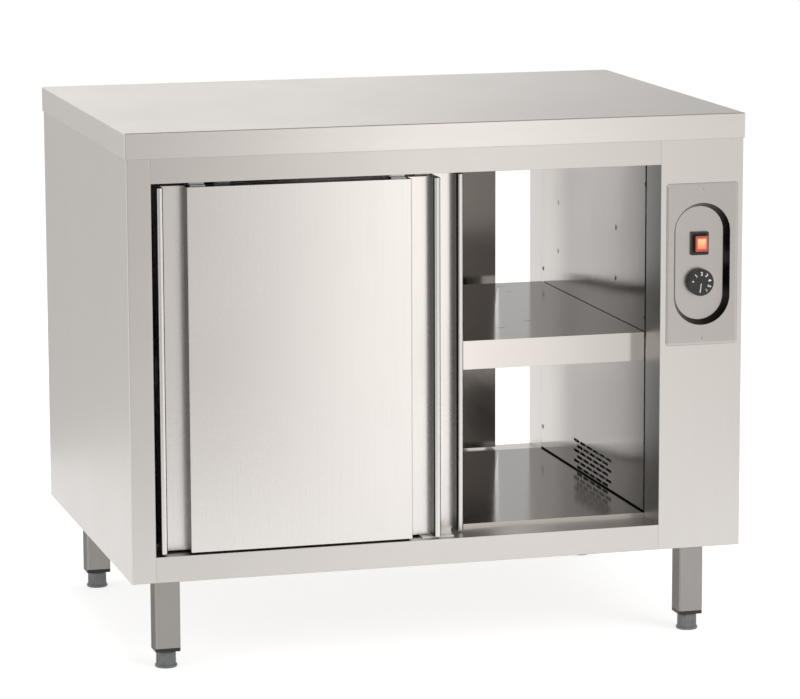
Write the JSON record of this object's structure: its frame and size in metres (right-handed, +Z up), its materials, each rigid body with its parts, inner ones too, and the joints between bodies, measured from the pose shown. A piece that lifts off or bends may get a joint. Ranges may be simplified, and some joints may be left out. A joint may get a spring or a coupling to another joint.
{
  "type": "heated plate cabinet",
  "caption": "Heated stainless pass-through cabinet with sliding doors on both long sides, a shelf, a service column with switch and thermostat, on adjustable legs.",
  "frame": {"origin": "on the floor under the middle of the worktop", "axes": "+X to the right seen from the front, +Y to the back, +Z up; the front is at -Y"},
  "size_m": [1, 0.7, 0.85],
  "materials": {
    "worktop_steel": "satin brushed",
    "body_steel": "satin brushed",
    "door_steel": "satin brushed",
    "liner_steel": "bright rolled",
    "plate_steel": "satin pressed",
    "leg_steel": "brushed tube",
    "foot_grey": "moulded grey",
    "black_plastic": "moulded",
    "knob_plastic": "moulded with plain white numbers",
    "black_rubber": "matt",
    "nylon": "natural",
    "zinc": "zinc plated",
    "screw_steel": "bright",
    "heater_sheath": "heat tinted",
    "insulation": "mineral wool",
    "board": "chipboard",
    "lit_rocker": "translucent, lit"
  },
  "bodies": {
    "root": {"worktop": "worktop_steel", "worktop_core": "board", "left_side_panel": "body_steel", "right_side_panel": "body_steel", "left_liner": "liner_steel", "side_insulation": "insulation", "chamber_wall": "liner_steel", "front_top_rail": "body_steel", "back_top_rail": "body_steel", "front_tracks": "zinc", "back_tracks": "zinc", "door_stops": "black_rubber", "ceiling_liner": "liner_steel", "base_pan": "body_steel", "floor_liner": "liner_steel", "leg_front_left": "leg_steel", "leg_front_right": "leg_steel", "leg_back_left": "leg_steel", "leg_back_right": "leg_steel", "leg_caps": "black_plastic", "shelf_pegs": "zinc", "bottom_guides": "nylon", "control_plate": "plate_steel", "switch_housing": "black_plastic", "thermostat": "zinc", "fan_housing": "zinc", "fan_motor": "zinc", "heater_element": "heater_sheath", "terminal_block": "nylon", "cable_gland": "black_plastic", "panel_screws": "screw_steel"},
    "front_outer_door": {"front_outer_skin": "door_steel", "front_outer_liner": "liner_steel", "front_outer_hangers": "zinc"},
    "front_outer_roller_a": {"front_outer_roller_a": "nylon"},
    "front_outer_roller_b": {"front_outer_roller_b": "nylon"},
    "front_inner_door": {"front_inner_skin": "door_steel", "front_inner_liner": "liner_steel", "front_inner_hangers": "zinc"},
    "front_inner_roller_a": {"front_inner_roller_a": "nylon"},
    "front_inner_roller_b": {"front_inner_roller_b": "nylon"},
    "back_outer_door": {"back_outer_skin": "door_steel", "back_outer_liner": "liner_steel", "back_outer_hangers": "zinc"},
    "back_outer_roller_a": {"back_outer_roller_a": "nylon"},
    "back_outer_roller_b": {"back_outer_roller_b": "nylon"},
    "back_inner_door": {"back_inner_skin": "door_steel", "back_inner_liner": "liner_steel", "back_inner_hangers": "zinc"},
    "back_inner_roller_a": {"back_inner_roller_a": "nylon"},
    "back_inner_roller_b": {"back_inner_roller_b": "nylon"},
    "foot_front_left": {"foot_front_left": "foot_grey"},
    "foot_front_right": {"foot_front_right": "foot_grey"},
    "foot_back_left": {"foot_back_left": "foot_grey"},
    "foot_back_right": {"foot_back_right": "foot_grey"},
    "shelf": {"shelf": "liner_steel"},
    "rocker": {"switch_rocker": "lit_rocker"},
    "knob": {"thermostat_knob": "knob_plastic"},
    "fan_rotor": {"fan_wheel": "zinc"}
  },
  "joints": [
    {"name": "front_outer_slide", "type": "slide", "parent": "root", "child": "front_outer_door", "axis": [1, 0, 0], "range_m": [-0.007, 0.359]},
    {"name": "front_outer_roller_a_spin", "type": "hinge", "parent": "front_outer_door", "child": "front_outer_roller_a", "pos_m": [-0.385, -0.332, 0.7918], "axis": [0, 1, 0], "range_deg": [-43.2, 1964]},
    {"name": "front_outer_roller_b_spin", "type": "hinge", "parent": "front_outer_door", "child": "front_outer_roller_b", "pos_m": [-0.067, -0.332, 0.7918], "axis": [0, 1, 0], "range_deg": [-43.2, 1964]},
    {"name": "front_inner_slide", "type": "slide", "parent": "root", "child": "front_inner_door", "axis": [1, 0, 0], "range_m": [-0.054, 0.312]},
    {"name": "front_inner_roller_a_spin", "type": "hinge", "parent": "front_inner_door", "child": "front_inner_roller_a", "pos_m": [-0.338, -0.298, 0.7918], "axis": [0, 1, 0], "range_deg": [-299.7, 1707.5]},
    {"name": "front_inner_roller_b_spin", "type": "hinge", "parent": "front_inner_door", "child": "front_inner_roller_b", "pos_m": [-0.02, -0.298, 0.7918], "axis": [0, 1, 0], "range_deg": [-299.7, 1707.5]},
    {"name": "back_outer_slide", "type": "slide", "parent": "root", "child": "back_outer_door", "axis": [1, 0, 0], "range_m": [-0.295, 0.071]},
    {"name": "back_outer_roller_a_spin", "type": "hinge", "parent": "back_outer_door", "child": "back_outer_roller_a", "pos_m": [0.221, 0.332, 0.7918], "axis": [0, 1, 0], "range_deg": [-1614.7, 392.4]},
    {"name": "back_outer_roller_b_spin", "type": "hinge", "parent": "back_outer_door", "child": "back_outer_roller_b", "pos_m": [-0.097, 0.332, 0.7918], "axis": [0, 1, 0], "range_deg": [-1614.7, 392.4]},
    {"name": "back_inner_slide", "type": "slide", "parent": "root", "child": "back_inner_door", "axis": [1, 0, 0], "range_m": [0, 0.366]},
    {"name": "back_inner_roller_a_spin", "type": "hinge", "parent": "back_inner_door", "child": "back_inner_roller_a", "pos_m": [-0.074, 0.298, 0.7918], "axis": [0, 1, 0], "range_deg": [-5, 2002.2]},
    {"name": "back_inner_roller_b_spin", "type": "hinge", "parent": "back_inner_door", "child": "back_inner_roller_b", "pos_m": [-0.392, 0.298, 0.7918], "axis": [0, 1, 0], "range_deg": [-5, 2002.2]},
    {"name": "foot_front_left_height", "type": "slide", "parent": "root", "child": "foot_front_left", "axis": [0, 0, 1], "range_m": [-0.03, 0]},
    {"name": "foot_front_right_height", "type": "slide", "parent": "root", "child": "foot_front_right", "axis": [0, 0, 1], "range_m": [-0.03, 0]},
    {"name": "foot_back_left_height", "type": "slide", "parent": "root", "child": "foot_back_left", "axis": [0, 0, 1], "range_m": [-0.03, 0]},
    {"name": "foot_back_right_height", "type": "slide", "parent": "root", "child": "foot_back_right", "axis": [0, 0, 1], "range_m": [-0.03, 0]},
    {"name": "shelf_lift", "type": "slide", "parent": "root", "child": "shelf", "axis": [0, 0, 1], "range_m": [0, 0.083]},
    {"name": "rocker_tilt", "type": "hinge", "parent": "root", "child": "rocker", "pos_m": [0.429, -0.335, 0.642], "axis": [1, 0, 0], "range_deg": [0, 16]},
    {"name": "knob_turn", "type": "hinge", "parent": "root", "child": "knob", "pos_m": [0.429, -0.34, 0.58], "axis": [0, 1, 0], "range_deg": [0, 300]},
    {"name": "fan_spin", "type": "hinge", "parent": "root", "child": "fan_rotor", "pos_m": [0.404, -0.008, 0.2295], "axis": [0, 1, 0], "continuous": true}
  ],
  "couplings": [
    {"joint": "front_outer_roller_a_spin", "follows": "front_outer_slide", "rad_per_m": 95.238},
    {"joint": "front_outer_roller_b_spin", "follows": "front_outer_slide", "rad_per_m": 95.238},
    {"joint": "front_inner_roller_a_spin", "follows": "front_inner_slide", "rad_per_m": 95.238},
    {"joint": "front_inner_roller_b_spin", "follows": "front_inner_slide", "rad_per_m": 95.238},
    {"joint": "back_outer_roller_a_spin", "follows": "back_outer_slide", "rad_per_m": 95.238},
    {"joint": "back_outer_roller_b_spin", "follows": "back_outer_slide", "rad_per_m": 95.238},
    {"joint": "back_inner_roller_a_spin", "follows": "back_inner_slide", "rad_per_m": 95.238},
    {"joint": "back_inner_roller_b_spin", "follows": "back_inner_slide", "rad_per_m": 95.238}
  ]
}
